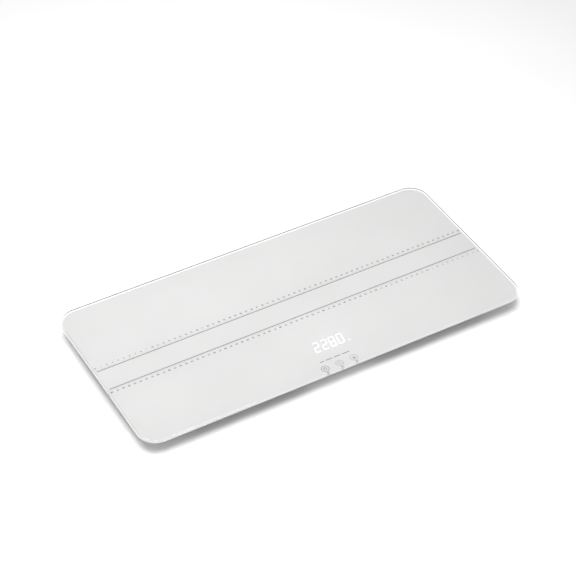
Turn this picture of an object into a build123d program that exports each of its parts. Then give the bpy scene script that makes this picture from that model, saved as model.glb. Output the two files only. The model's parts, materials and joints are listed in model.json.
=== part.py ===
from build123d import *
import math
import os

# Animal weighing scale: a flush glass platform on four load cell feet, with the electronics tray under
# its front edge. Millimetres. The origin is on the floor under the middle of the platform, +X runs along
# the platform, +Y to its rear, +Z up. The touch keys and the display are at the front, at -Y.

os.makedirs("parts", exist_ok=True)

# Platform
PLATE_LENGTH = 693.0
PLATE_WIDTH = 333.0
PLATE_THICKNESS = 6.0
PLATE_CORNER_RADIUS = 33.0
PLATE_EDGE_ROUND = 1.0
OVERALL_HEIGHT = 28.0
FILM_THICKNESS = 0.3
FILM_INSET = 2.6
TAPE_THICKNESS = 0.8

PLATE_BOTTOM = OVERALL_HEIGHT - PLATE_THICKNESS
FILM_BOTTOM = PLATE_BOTTOM - FILM_THICKNESS
CASE_TOP = FILM_BOTTOM - TAPE_THICKNESS
CASE_BOTTOM = 5.0
FRONT_EDGE = -PLATE_WIDTH / 2

# Foot pods
POD_INSET_X = 53.0
POD_INSET_Y = 54.0
POD_FLANGE_RADIUS = 36.0
POD_FLANGE_THICKNESS = 1.5
POD_WALL_RADIUS = 31.5
POD_CAVITY_RADIUS = 28.2
POD_ROOF_THICKNESS = 2.0
POD_FLANGE_ROUND = 0.6
POD_WALL_ROUND = 1.2
POD_TAPE_WIDTH = 16.0
RING_OUTER_RADIUS = 28.8
RING_INNER_RADIUS = 25.0
RING_THICKNESS = 2.0

CELL_SIZE = 34.0
CELL_THICKNESS = 1.6
CELL_BOTTOM = 14.0
CELL_TOP = CELL_BOTTOM + CELL_THICKNESS
CELL_HOLE_SPACING = 26.0
CELL_HOLE_RADIUS = 1.6
CELL_CORNER_RADIUS = 3.0
CELL_SLOT_WIDTH = 2.4
CELL_TONGUE_WIDTH = 15.6
BOSS_RADIUS = 3.0
PILOT_RADIUS = 1.15
SCREW_RADIUS = 1.1
SCREW_CROSS_WIDTH = 0.6
POTTING_END = 13.5
POTTING_LENGTH = 8.0
POTTING_WIDTH = 12.0
POTTING_HEIGHT = 3.0
GAUGE_LENGTH = 5.0
GAUGE_WIDTH = 3.0
GAUGE_THICKNESS = 0.1
GAUGE_X = 3.6
GAUGE_Y = 9.5

CUP_RADIUS = 24.5
CUP_FLANGE_RADIUS = 27.8
CUP_FLANGE_BOTTOM = 7.4
CUP_FLANGE_TOP = 9.0
CUP_BOTTOM = 2.0
CUP_WALL = 2.0
CUP_FLOOR_THICKNESS = 1.6
CUP_RIM_ROUND = 0.8
CUP_BOSS_RADIUS = 6.0
CUP_RIB_WIDTH = 1.4
PAD_RADIUS = 22.0
PAD_SOCKET_GAP = 0.2
PAD_TOP = 3.0
PAD_GROOVE_DEPTH = 0.7
PAD_RIDGES = ((5.0, 0.0), (11.0, 7.0), (17.0, 13.0), (21.5, 19.0))

# Load cell leads and the channels that hold them
LEAD_RADIUS = 1.2
LEAD_HEIGHT = 17.2
LEAD_WINDOW_WIDTH = 4.8
LEAD_WINDOW_HEIGHT = 3.4
CHANNEL_WIDTH = 8.0
CHANNEL_FLANGE_WIDTH = 14.0
CHANNEL_INSIDE_WIDTH = 4.6
CHANNEL_BOTTOM = 14.9
CHANNEL_WALL = 1.0
CHANNEL_DRAFT = 0.2
CHANNEL_CHAMFER = 0.8
CHANNEL_START = POD_FLANGE_RADIUS + 0.5
# where each lead turns towards the tray, beyond the tray's flange
FRONT_TURN_GAP = 0.5
REAR_TURN_GAP = 14.0
REAR_CHANNEL_GAP = 9.0

# Electronics tray
TRAY_HALF_LENGTH = 60.0
TRAY_FLANGE = 6.0
TRAY_FLANGE_THICKNESS = 1.5
TRAY_FLANGE_CORNER = 6.0
TRAY_CORNER = 4.0
TRAY_WALL = 1.8
TRAY_FRONT = FRONT_EDGE + 6.0
TRAY_REAR = -50.0
TRAY_FRONT_FLANGE = 2.0
TRAY_SHALLOW_BOTTOM = 9.0
TRAY_SLOPE_TOP = 17.0
TRAY_SLOPE_END = -148.0
BAY_SLOPE_FRONT = -96.0
BAY_SLOPE_REAR = -91.0

BOARD_BOTTOM = 17.2
BOARD_THICKNESS = 1.2
BOARD_TOP = BOARD_BOTTOM + BOARD_THICKNESS
BOARD_HALF_LENGTH = 52.0
BOARD_FRONT = -157.0
BOARD_REAR = -87.5
BOARD_SCREW_X = 49.0
BOARD_SCREW_YS = (-140.0, -105.5)
BOARD_POST_RADIUS = 3.5
BOARD_PILOT_DEPTH = 6.0
BOARD_HOLE_RADIUS = 1.4
FRONT_LEAD_Y = FRONT_EDGE + POD_INSET_Y
REAR_LEAD_Y = -98.5
CONNECTOR_MOUTH_X = 46.0
CONNECTOR_DEPTH = 7.0
CONNECTOR_WIDTH = 8.0
CONNECTOR_HEIGHT = 4.6
CONNECTOR_STRAIGHT = 4.0

KEY_PITCH = 26.25
KEY_Y = FRONT_EDGE + 14.1

# Display
DIGIT_PITCH = 14.4
DIGIT_WIDTH = 10.0
DIGIT_HEIGHT = 22.0
DIGIT_SLANT = 9.0
SEGMENT_WIDTH = 2.2
SEGMENT_GAP = 0.5
DISPLAY_CENTRE_X = 8.1
DISPLAY_CENTRE_Y = -104.1
DISPLAY_TOP = 21.5
BLOCK_X = (-22.0, 45.0)
BLOCK_Y = (-117.5, -91.0)
LED_HEIGHT = 0.6

# Battery bay: two rows of two AAA cells
BATTERY_RADIUS = 5.25
BATTERY_BODY_LENGTH = 43.5
BATTERY_NUB_LENGTH = 1.0
BATTERY_NUB_RADIUS = 1.9
BATTERY_AXIS_HEIGHT = 13.25
BAY_CENTRE_Y = -69.5
BAY_DEPTH = 27.0
BAY_LENGTH = 51.0
BAY_DIVIDER = 2.0
BAY_WALL = 2.2
BAY_ROOF = 18.8
ROW_PITCH = 12.0
CONTACT_THICKNESS = 0.4
CONTACT_SIZE = 9.0
CONTACT_TAIL_ZS = (12.25, 14.25)
CONTACT_SLOT_ZS = (11.9, 14.6)
SPRING_WIRE_RADIUS = 0.3
SPRING_COIL_RADIUS = 3.2
SPRING_TURNS = 4
BATTERY_LEAD_RADIUS = 0.6
BATTERY_RIM = 0.5

DOOR_HALF_LENGTH = 54.0
DOOR_THICKNESS = 2.2
DOOR_FRONT = -86.0
DOOR_CLEARANCE = 0.35
TONGUE_WIDTH = 1.5
LATCH_HALF_WIDTH = 9.0
LATCH_CUT_WIDTH = 1.0
LATCH_LENGTH = 12.0
GRIP_HALF_WIDTH = 14.0
GRIP_GROOVES = 6
GRIP_PITCH = 1.8
GRIP_GROOVE_WIDTH = 0.9
GRIP_GROOVE_DEPTH = 0.6
TONGUE_BOTTOM = CASE_BOTTOM + 1.4

POD_X = PLATE_LENGTH / 2 - POD_INSET_X
POD_Y = PLATE_WIDTH / 2 - POD_INSET_Y


# ------------------------------------------------------------------ planes and helpers


def level(height, x=0.0, y=0.0):
    """A horizontal plane at a height, its origin above (x, y)."""
    return Plane(origin=(x, y, height))


def upright(x, y):
    """A vertical plane through (x, y): its own x is +X and its own y is the height."""
    return Plane(origin=(x, y, 0), x_dir=(1, 0, 0), z_dir=(0, -1, 0))


def keep(piece, name):
    """Label a finished piece and write its file."""
    piece.part.label = name
    export_step(piece.part, f"parts/{name}.step")


class Pod:
    """One corner's foot: its place, and the way its lead leaves towards the electronics tray."""

    def __init__(self, name, side, end):
        self.name = name
        self.side = side
        self.centre = Vector(side * POD_X, end * POD_Y)
        self.lead_y = FRONT_LEAD_Y if end < 0 else REAR_LEAD_Y
        turn_gap = FRONT_TURN_GAP if end < 0 else REAR_TURN_GAP
        self.turn = Vector(side * (TRAY_HALF_LENGTH + TRAY_FLANGE + turn_gap), self.lead_y)
        self.toward = (self.turn - self.centre).normalized()
        run = (self.turn - self.centre).length
        self.channel_end = run if end < 0 else run - REAR_CHANNEL_GAP

    def cell_plane(self, height):
        """A horizontal plane whose own y points along the lead."""
        return Plane(
            origin=(self.centre.X, self.centre.Y, height),
            x_dir=(self.toward.Y, -self.toward.X, 0),
            z_dir=(0, 0, 1),
        )

    def across_plane(self, distance):
        """A vertical plane across the lead, at a distance from the pod: its own y is the height."""
        start = self.centre + self.toward * distance
        return Plane(
            origin=(start.X, start.Y, 0),
            x_dir=(-self.toward.Y, self.toward.X, 0),
            z_dir=(self.toward.X, self.toward.Y, 0),
        )


PODS = (
    Pod("front_left", -1, -1),
    Pod("front_right", 1, -1),
    Pod("rear_left", -1, 1),
    Pod("rear_right", 1, 1),
)


# ------------------------------------------------------------------ platform

with BuildPart() as glass_platform:
    with BuildSketch(level(PLATE_BOTTOM)):
        RectangleRounded(PLATE_LENGTH, PLATE_WIDTH, PLATE_CORNER_RADIUS)
    extrude(amount=PLATE_THICKNESS)
    rims = glass_platform.edges().group_by(Axis.Z)
    fillet(rims[0] + rims[-1], radius=PLATE_EDGE_ROUND)
keep(glass_platform, "glass_platform")

with BuildPart() as backing_film:
    with BuildSketch(level(FILM_BOTTOM)):
        RectangleRounded(
            PLATE_LENGTH - 2 * FILM_INSET,
            PLATE_WIDTH - 2 * FILM_INSET,
            PLATE_CORNER_RADIUS - FILM_INSET,
        )
    extrude(amount=FILM_THICKNESS)
keep(backing_film, "backing_film")


# ------------------------------------------------------------------ foot pods


def make_foot_housing(pod):
    """A round case bonded under the glass: roof, wall, four screw bosses and a window for the lead."""
    roof_bottom = CASE_TOP - POD_ROOF_THICKNESS
    with BuildPart() as housing:
        with BuildSketch(upright(pod.centre.X, pod.centre.Y)):
            with BuildLine():
                Polyline(
                    (0, CASE_TOP),
                    (POD_FLANGE_RADIUS, CASE_TOP),
                    (POD_FLANGE_RADIUS, CASE_TOP - POD_FLANGE_THICKNESS),
                    (POD_WALL_RADIUS, CASE_TOP - POD_FLANGE_THICKNESS),
                    (POD_WALL_RADIUS, CASE_BOTTOM),
                    (RING_OUTER_RADIUS, CASE_BOTTOM),
                    (RING_OUTER_RADIUS, CASE_BOTTOM + RING_THICKNESS),
                    (POD_CAVITY_RADIUS, CASE_BOTTOM + RING_THICKNESS),
                    (POD_CAVITY_RADIUS, roof_bottom),
                    (0, roof_bottom),
                    close=True,
                )
            make_face()
        revolve(axis=Axis((pod.centre.X, pod.centre.Y, 0), (0, 0, 1)))
        outer_rims = housing.edges().filter_by(GeomType.CIRCLE).group_by(SortBy.RADIUS)
        fillet(outer_rims[-1].group_by(Axis.Z)[0], radius=POD_FLANGE_ROUND)
        fillet(outer_rims[-2].group_by(Axis.Z)[0], radius=POD_WALL_ROUND)
        with BuildSketch(pod.cell_plane(CELL_TOP)):
            with GridLocations(CELL_HOLE_SPACING, CELL_HOLE_SPACING, 2, 2):
                Circle(BOSS_RADIUS)
        extrude(amount=roof_bottom - CELL_TOP)
        with BuildSketch(pod.cell_plane(CELL_TOP)):
            with GridLocations(CELL_HOLE_SPACING, CELL_HOLE_SPACING, 2, 2):
                Circle(PILOT_RADIUS)
        extrude(amount=roof_bottom - CELL_TOP, mode=Mode.SUBTRACT)
        with BuildSketch(pod.across_plane(RING_INNER_RADIUS)):
            with Locations((0, LEAD_HEIGHT)):
                RectangleRounded(LEAD_WINDOW_WIDTH, LEAD_WINDOW_HEIGHT, 1.0)
        extrude(amount=POD_WALL_RADIUS - RING_INNER_RADIUS + 1, mode=Mode.SUBTRACT)
    return housing


def make_load_cell(pod):
    """A stamped half-bridge cell: an outer frame and a centre tongue that the foot bends."""
    tongue_end = -9.0
    tongue_root = 11.0
    slot_span = CELL_TONGUE_WIDTH + 2 * CELL_SLOT_WIDTH
    with BuildPart() as cell:
        with BuildSketch(pod.cell_plane(CELL_BOTTOM)):
            RectangleRounded(CELL_SIZE, CELL_SIZE, CELL_CORNER_RADIUS)
            with GridLocations(CELL_HOLE_SPACING, CELL_HOLE_SPACING, 2, 2):
                Circle(CELL_HOLE_RADIUS, mode=Mode.SUBTRACT)
            with GridLocations(CELL_TONGUE_WIDTH + CELL_SLOT_WIDTH, 0, 2, 1):
                with Locations((0, (tongue_end + tongue_root) / 2)):
                    Rectangle(CELL_SLOT_WIDTH, tongue_root - tongue_end, mode=Mode.SUBTRACT)
            with Locations((0, tongue_end)):
                Rectangle(slot_span, CELL_SLOT_WIDTH, mode=Mode.SUBTRACT)
        extrude(amount=CELL_THICKNESS)
    return cell


def make_foot_cup(pod):
    """The moving foot: a dished disc with a flange, ribs and a boss that presses on the tongue."""
    floor_top = PAD_TOP + CUP_FLOOR_THICKNESS
    pad_socket = PAD_RADIUS + PAD_SOCKET_GAP
    with BuildPart() as cup:
        with BuildSketch(upright(pod.centre.X, pod.centre.Y)):
            with BuildLine():
                Polyline(
                    (0, PAD_TOP),
                    (pad_socket, PAD_TOP),
                    (pad_socket, CUP_BOTTOM),
                    (CUP_RADIUS, CUP_BOTTOM),
                    (CUP_RADIUS, CUP_FLANGE_BOTTOM),
                    (CUP_FLANGE_RADIUS, CUP_FLANGE_BOTTOM),
                    (CUP_FLANGE_RADIUS, CUP_FLANGE_TOP),
                    (CUP_RADIUS - CUP_WALL, CUP_FLANGE_TOP),
                    (CUP_RADIUS - CUP_WALL, floor_top),
                    (CUP_BOSS_RADIUS, floor_top),
                    (CUP_BOSS_RADIUS, CELL_BOTTOM),
                    (0, CELL_BOTTOM),
                    close=True,
                )
            make_face()
        revolve(axis=Axis((pod.centre.X, pod.centre.Y, 0), (0, 0, 1)))
        with BuildSketch(level(floor_top, pod.centre.X, pod.centre.Y)):
            with PolarLocations(0, 3):
                Rectangle(2 * (CUP_RADIUS - 0.5), CUP_RIB_WIDTH)
            Circle(CUP_BOSS_RADIUS - 0.5, mode=Mode.SUBTRACT)
        extrude(amount=CUP_FLANGE_TOP - floor_top)
        lowest_circles = cup.edges().filter_by(GeomType.CIRCLE).group_by(Axis.Z)[0]
        fillet(lowest_circles.sort_by(SortBy.RADIUS)[-1], radius=CUP_RIM_ROUND)
    return cup


def make_foot_pad(pod):
    """A rubber disc with round treads under it."""
    with BuildPart() as pad:
        with BuildSketch(level(PAD_GROOVE_DEPTH, pod.centre.X, pod.centre.Y)):
            Circle(PAD_RADIUS)
        extrude(amount=PAD_TOP - PAD_GROOVE_DEPTH)
        with BuildSketch(level(0, pod.centre.X, pod.centre.Y)):
            for outer, inner in PAD_RIDGES:
                Circle(outer)
                if inner > 0:
                    Circle(inner, mode=Mode.SUBTRACT)
        extrude(amount=PAD_GROOVE_DEPTH)
    return pad


for pod in PODS:
    keep(make_foot_housing(pod), f"foot_housing_{pod.name}")
    keep(make_load_cell(pod), f"load_cell_{pod.name}")
    keep(make_foot_cup(pod), f"foot_cup_{pod.name}")
    keep(make_foot_pad(pod), f"foot_pad_{pod.name}")

with BuildPart() as pod_tape:
    for pod in PODS:
        with BuildSketch(level(CASE_TOP, pod.centre.X, pod.centre.Y)):
            Circle(POD_FLANGE_RADIUS)
            Circle(POD_FLANGE_RADIUS - POD_TAPE_WIDTH, mode=Mode.SUBTRACT)
        extrude(amount=TAPE_THICKNESS)
keep(pod_tape, "foot_housing_tape")

with BuildPart() as retaining_rings:
    for pod in PODS:
        with BuildSketch(level(CASE_BOTTOM, pod.centre.X, pod.centre.Y)):
            Circle(RING_OUTER_RADIUS)
            Circle(RING_INNER_RADIUS, mode=Mode.SUBTRACT)
        extrude(amount=RING_THICKNESS)
keep(retaining_rings, "foot_retaining_rings")

with BuildPart() as cell_screws:
    head_height = 1.8
    head_radius = 2.6
    cross_length = 2.8
    cross_depth = 1.0
    grip = 3.0
    for pod in PODS:
        with BuildSketch(pod.cell_plane(CELL_BOTTOM - head_height)):
            with GridLocations(CELL_HOLE_SPACING, CELL_HOLE_SPACING, 2, 2):
                Circle(head_radius)
        extrude(amount=head_height)
        with BuildSketch(pod.cell_plane(CELL_BOTTOM)):
            with GridLocations(CELL_HOLE_SPACING, CELL_HOLE_SPACING, 2, 2):
                Circle(SCREW_RADIUS)
        extrude(amount=CELL_THICKNESS + grip)
        with BuildSketch(pod.cell_plane(CELL_BOTTOM - head_height)):
            with GridLocations(CELL_HOLE_SPACING, CELL_HOLE_SPACING, 2, 2):
                Rectangle(cross_length, SCREW_CROSS_WIDTH)
                Rectangle(SCREW_CROSS_WIDTH, cross_length)
        extrude(amount=cross_depth, mode=Mode.SUBTRACT)
keep(cell_screws, "load_cell_screws")

with BuildPart() as gauge_potting:
    for pod in PODS:
        with BuildSketch(pod.cell_plane(CELL_TOP)):
            with Locations((0, POTTING_END - POTTING_LENGTH / 2)):
                RectangleRounded(POTTING_WIDTH, POTTING_LENGTH, 2.0)
        extrude(amount=POTTING_HEIGHT)
keep(gauge_potting, "gauge_potting")

with BuildPart() as strain_gauges:
    for pod in PODS:
        with BuildSketch(pod.cell_plane(CELL_BOTTOM - GAUGE_THICKNESS)):
            with Locations((-GAUGE_X, GAUGE_Y), (GAUGE_X, GAUGE_Y)):
                Rectangle(GAUGE_WIDTH, GAUGE_LENGTH)
        extrude(amount=GAUGE_THICKNESS)
keep(strain_gauges, "strain_gauges")


# ------------------------------------------------------------------ leads and channels


def make_wire_channel(pod):
    """A cover of inverted-hat section, bonded under the film by its two side flanges."""
    half_flange = CHANNEL_FLANGE_WIDTH / 2
    half_width = CHANNEL_WIDTH / 2
    half_wall = half_width - CHANNEL_DRAFT
    with BuildPart() as channel:
        with BuildSketch(pod.across_plane(CHANNEL_START)):
            with BuildLine():
                Polyline(
                    (-half_flange, FILM_BOTTOM),
                    (half_flange, FILM_BOTTOM),
                    (half_flange, FILM_BOTTOM - CHANNEL_WALL),
                    (half_width, FILM_BOTTOM - CHANNEL_WALL),
                    (half_wall, CHANNEL_BOTTOM + CHANNEL_CHAMFER),
                    (half_wall - CHANNEL_CHAMFER, CHANNEL_BOTTOM),
                    (CHANNEL_CHAMFER - half_wall, CHANNEL_BOTTOM),
                    (-half_wall, CHANNEL_BOTTOM + CHANNEL_CHAMFER),
                    (-half_width, FILM_BOTTOM - CHANNEL_WALL),
                    (-half_flange, FILM_BOTTOM - CHANNEL_WALL),
                    close=True,
                )
            make_face()
            floor = CHANNEL_BOTTOM + CHANNEL_WALL
            with Locations((0, (FILM_BOTTOM + floor) / 2)):
                Rectangle(CHANNEL_INSIDE_WIDTH, FILM_BOTTOM - floor, mode=Mode.SUBTRACT)
        extrude(amount=pod.channel_end - CHANNEL_START)
    return channel


def bend_radii(points):
    """The largest arc that each corner of a held lead has room for."""
    radii = []
    for before, corner, after in zip(points, points[1:], points[2:]):
        first = Vector(*corner) - Vector(*before)
        second = Vector(*after) - Vector(*corner)
        half_turn = math.radians(first.get_angle(second)) / 2
        radii.append(0.45 * min(first.length, second.length) / math.tan(half_turn))
    return radii


def make_lead(pod):
    """A round lead from the potting on the load cell to its connector under the board."""
    start = pod.centre + pod.toward * POTTING_END
    wall_x = pod.side * TRAY_HALF_LENGTH
    points = [(start.X, start.Y, LEAD_HEIGHT)]
    if pod.turn.Y != pod.centre.Y:
        points.append((pod.turn.X, pod.turn.Y, LEAD_HEIGHT))
    plug_height = BOARD_BOTTOM - CONNECTOR_HEIGHT / 2
    points.append((wall_x, pod.lead_y, LEAD_HEIGHT))
    points.append((pod.side * (CONNECTOR_MOUTH_X + CONNECTOR_STRAIGHT), pod.lead_y, plug_height))
    points.append((pod.side * CONNECTOR_MOUTH_X, pod.lead_y, plug_height))
    radii = bend_radii(points)
    print(pod.name, "lead bends at", [round(radius, 1) for radius in radii])
    with BuildPart() as lead:
        with BuildLine():
            FilletPolyline(*points, radius=radii)
        with BuildSketch(Plane(origin=points[0], z_dir=(pod.toward.X, pod.toward.Y, 0))):
            Circle(LEAD_RADIUS)
        sweep()
    return lead


for pod in PODS:
    keep(make_wire_channel(pod), f"wire_channel_{pod.name}")
    keep(make_lead(pod), f"load_cell_lead_{pod.name}")


# ------------------------------------------------------------------ electronics tray


def across_tray(x):
    """A vertical plane across the tray at x: its own x is +Y and its own y is the height."""
    return Plane(origin=(x, 0, 0), x_dir=(0, 1, 0), z_dir=(1, 0, 0))


def box_between(xs, ys, zs, mode=Mode.ADD):
    """A block between two corners, inside the part being built."""
    with BuildSketch(level(zs[0], (xs[0] + xs[1]) / 2, (ys[0] + ys[1]) / 2)) as base:
        Rectangle(xs[1] - xs[0], ys[1] - ys[0])
    extrude(base.sketch, amount=zs[1] - zs[0], mode=mode)


bay_front = BAY_CENTRE_Y - BAY_DEPTH / 2
bay_rear = BAY_CENTRE_Y + BAY_DEPTH / 2
bay_outer = BAY_DIVIDER / 2 + BAY_LENGTH
door_top = CASE_BOTTOM + DOOR_THICKNESS
flange_half = TRAY_HALF_LENGTH + TRAY_FLANGE
flange_front = TRAY_FRONT - TRAY_FRONT_FLANGE
flange_rear = TRAY_REAR + TRAY_FLANGE
flange_y = (flange_front + flange_rear) / 2
board_cavity_rear = bay_front - BAY_WALL

with BuildPart() as electronics_housing:
    with BuildSketch(across_tray(-TRAY_HALF_LENGTH)):
        with BuildLine():
            Polyline(
                (TRAY_FRONT, CASE_TOP),
                (TRAY_FRONT, TRAY_SLOPE_TOP),
                (TRAY_SLOPE_END, TRAY_SHALLOW_BOTTOM),
                (BAY_SLOPE_FRONT, TRAY_SHALLOW_BOTTOM),
                (BAY_SLOPE_REAR, CASE_BOTTOM),
                (TRAY_REAR, CASE_BOTTOM),
                (TRAY_REAR, CASE_TOP),
                close=True,
            )
        make_face()
    extrude(amount=2 * TRAY_HALF_LENGTH)
    fillet(electronics_housing.edges().filter_by(Axis.Z), radius=TRAY_CORNER)
    with BuildSketch(level(CASE_TOP - TRAY_FLANGE_THICKNESS, 0, flange_y)):
        RectangleRounded(2 * flange_half, flange_rear - flange_front, TRAY_FLANGE_CORNER)
    extrude(amount=TRAY_FLANGE_THICKNESS)
    # the space for the board, open to the film above
    with BuildSketch(across_tray(TRAY_WALL - TRAY_HALF_LENGTH)):
        with BuildLine():
            Polyline(
                (TRAY_FRONT + TRAY_WALL, CASE_TOP),
                (TRAY_FRONT + TRAY_WALL, TRAY_SLOPE_TOP + 0.8),
                (TRAY_SLOPE_END + 0.8, TRAY_SHALLOW_BOTTOM + TRAY_WALL),
                (board_cavity_rear, TRAY_SHALLOW_BOTTOM + TRAY_WALL),
                (board_cavity_rear, CASE_TOP),
                close=True,
            )
        make_face()
    extrude(amount=2 * (TRAY_HALF_LENGTH - TRAY_WALL), mode=Mode.SUBTRACT)
    # board posts, with pilot holes for the screws
    for screw_y in BOARD_SCREW_YS:
        for side in (-1, 1):
            with BuildSketch(level(TRAY_SHALLOW_BOTTOM + 1, side * BOARD_SCREW_X, screw_y)):
                Circle(BOARD_POST_RADIUS)
            extrude(amount=BOARD_BOTTOM - TRAY_SHALLOW_BOTTOM - 1)
            pilot_bottom = BOARD_BOTTOM - BOARD_PILOT_DEPTH
            with BuildSketch(level(pilot_bottom, side * BOARD_SCREW_X, screw_y)):
                Circle(PILOT_RADIUS)
            extrude(amount=BOARD_PILOT_DEPTH, mode=Mode.SUBTRACT)
    # windows for the four leads
    window_zs = (LEAD_HEIGHT - 2.0, LEAD_HEIGHT + 1.6)
    for side in (-1, 1):
        wall_xs = sorted((side * (TRAY_HALF_LENGTH - 3.0), side * (TRAY_HALF_LENGTH + 1.0)))
        for lead_y in (FRONT_LEAD_Y, REAR_LEAD_Y):
            window_ys = (lead_y - LEAD_WINDOW_WIDTH / 2, lead_y + LEAD_WINDOW_WIDTH / 2)
            box_between(wall_xs, window_ys, window_zs, Mode.SUBTRACT)
    # two battery pockets, open below
    for side in (-1, 1):
        pocket_xs = sorted((side * BAY_DIVIDER / 2, side * bay_outer))
        box_between(pocket_xs, (bay_front, bay_rear), (CASE_BOTTOM, BAY_ROOF), Mode.SUBTRACT)
    # the slide-in recess of the battery door and the groove for its two tongues
    slot_half = DOOR_HALF_LENGTH + DOOR_CLEARANCE
    groove_half = slot_half + TONGUE_WIDTH
    slot_ys = (DOOR_FRONT - DOOR_CLEARANCE, TRAY_REAR + 1.0)
    slot_top = door_top + DOOR_CLEARANCE
    box_between((-slot_half, slot_half), slot_ys, (CASE_BOTTOM, slot_top), Mode.SUBTRACT)
    groove_zs = (TONGUE_BOTTOM - DOOR_CLEARANCE, slot_top)
    box_between((-groove_half, groove_half), slot_ys, groove_zs, Mode.SUBTRACT)
    # slots that let the battery contacts through to the board
    for side in (-1, 1):
        slot_xs = sorted((side * (bay_outer - 1.0), side * bay_outer))
        box_between(slot_xs, (board_cavity_rear, bay_front), CONTACT_SLOT_ZS, Mode.SUBTRACT)
keep(electronics_housing, "electronics_housing")

with BuildPart() as tray_tape:
    with BuildSketch(level(CASE_TOP, 0, flange_y)):
        RectangleRounded(2 * flange_half, flange_rear - flange_front, TRAY_FLANGE_CORNER)
    extrude(amount=TAPE_THICKNESS)
    opening_xs = (TRAY_WALL - TRAY_HALF_LENGTH, TRAY_HALF_LENGTH - TRAY_WALL)
    opening_ys = (TRAY_FRONT + TRAY_WALL, board_cavity_rear)
    box_between(opening_xs, opening_ys, (CASE_TOP, FILM_BOTTOM), Mode.SUBTRACT)
keep(tray_tape, "electronics_housing_tape")

with BuildPart() as battery_door:
    door_xs = (-DOOR_HALF_LENGTH, DOOR_HALF_LENGTH)
    door_zs = (CASE_BOTTOM, door_top)
    box_between(door_xs, (DOOR_FRONT, TRAY_REAR), door_zs)
    fillet(battery_door.edges().filter_by(Axis.Z), radius=1.0)
    tongue_half = DOOR_HALF_LENGTH + TONGUE_WIDTH
    tongue_ys = (DOOR_FRONT + 2.0, TRAY_REAR - 2.0)
    box_between((-tongue_half, tongue_half), tongue_ys, (TONGUE_BOTTOM, door_top))
    # two cuts that free the latch strip
    for side in (-1, 1):
        cut_xs = sorted((side * LATCH_HALF_WIDTH, side * (LATCH_HALF_WIDTH + LATCH_CUT_WIDTH)))
        box_between(cut_xs, (DOOR_FRONT, DOOR_FRONT + LATCH_LENGTH), door_zs, Mode.SUBTRACT)
    # finger grooves near the rear edge
    groove_xs = (-GRIP_HALF_WIDTH, GRIP_HALF_WIDTH)
    groove_zs = (CASE_BOTTOM, CASE_BOTTOM + GRIP_GROOVE_DEPTH)
    for groove in range(GRIP_GROOVES):
        groove_rear = TRAY_REAR - 4.0 - GRIP_PITCH * groove
        groove_ys = (groove_rear - GRIP_GROOVE_WIDTH, groove_rear)
        box_between(groove_xs, groove_ys, groove_zs, Mode.SUBTRACT)
keep(battery_door, "battery_door")


# ------------------------------------------------------------------ control board and what is on it

with BuildPart() as control_board:
    board_xs = (-BOARD_HALF_LENGTH, BOARD_HALF_LENGTH)
    box_between(board_xs, (BOARD_FRONT, BOARD_REAR), (BOARD_BOTTOM, BOARD_TOP))
    fillet(control_board.edges().filter_by(Axis.Z), radius=2.0)
    with BuildSketch(level(BOARD_BOTTOM)):
        for screw_y in BOARD_SCREW_YS:
            with Locations((-BOARD_SCREW_X, screw_y), (BOARD_SCREW_X, screw_y)):
                Circle(BOARD_HOLE_RADIUS)
    extrude(amount=BOARD_THICKNESS, mode=Mode.SUBTRACT)
keep(control_board, "control_board")

with BuildPart() as board_screws:
    thread_length = 5.0
    head_radius = 2.4
    head_height = 1.5
    cross_length = 2.6
    cross_depth = 0.9
    for screw_y in BOARD_SCREW_YS:
        for side in (-1, 1):
            screw_x = side * BOARD_SCREW_X
            with BuildSketch(level(BOARD_BOTTOM - thread_length, screw_x, screw_y)):
                Circle(SCREW_RADIUS)
            extrude(amount=BOARD_THICKNESS + thread_length)
            with BuildSketch(level(BOARD_TOP, screw_x, screw_y)):
                Circle(head_radius)
            extrude(amount=head_height)
            with BuildSketch(level(BOARD_TOP + head_height - cross_depth, screw_x, screw_y)):
                Rectangle(cross_length, SCREW_CROSS_WIDTH)
                Rectangle(SCREW_CROSS_WIDTH, cross_length)
            extrude(amount=cross_depth, mode=Mode.SUBTRACT)
keep(board_screws, "board_screws")

with BuildPart() as lead_connectors:
    connector_bottom = BOARD_BOTTOM - CONNECTOR_HEIGHT
    key_slot_y = 2.8
    key_slot_half = 0.4
    key_slot_depth = 1.2
    for side in (-1, 1):
        body_xs = sorted((side * (CONNECTOR_MOUTH_X - CONNECTOR_DEPTH), side * CONNECTOR_MOUTH_X))
        key_xs = sorted((side * (CONNECTOR_MOUTH_X - 3.0), side * CONNECTOR_MOUTH_X))
        for lead_y in (FRONT_LEAD_Y, REAR_LEAD_Y):
            body_ys = (lead_y - CONNECTOR_WIDTH / 2, lead_y + CONNECTOR_WIDTH / 2)
            box_between(body_xs, body_ys, (connector_bottom, BOARD_BOTTOM))
            for key_y in (lead_y - key_slot_y, lead_y + key_slot_y):
                key_ys = (key_y - key_slot_half, key_y + key_slot_half)
                key_zs = (connector_bottom, connector_bottom + key_slot_depth)
                box_between(key_xs, key_ys, key_zs, Mode.SUBTRACT)
keep(lead_connectors, "lead_connectors")

with BuildPart() as microcontroller:
    chip_half = 5.0
    chip_y = -128.0
    chip_ys = (chip_y - chip_half, chip_y + chip_half)
    pin_span = 2 * chip_half + 2.0
    pin_width = 0.35
    pin_pitch = 0.8
    pins_a_side = 11
    box_between((-chip_half, chip_half), chip_ys, (BOARD_BOTTOM - 1.6, BOARD_BOTTOM - 0.2))
    with BuildSketch(level(BOARD_BOTTOM - 0.6, 0, chip_y)):
        with GridLocations(pin_pitch, 0, pins_a_side, 1):
            Rectangle(pin_width, pin_span)
        with GridLocations(0, pin_pitch, 1, pins_a_side):
            Rectangle(pin_span, pin_width)
        Rectangle(2 * chip_half, 2 * chip_half, mode=Mode.SUBTRACT)
    extrude(amount=0.6)
keep(microcontroller, "microcontroller")

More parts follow.
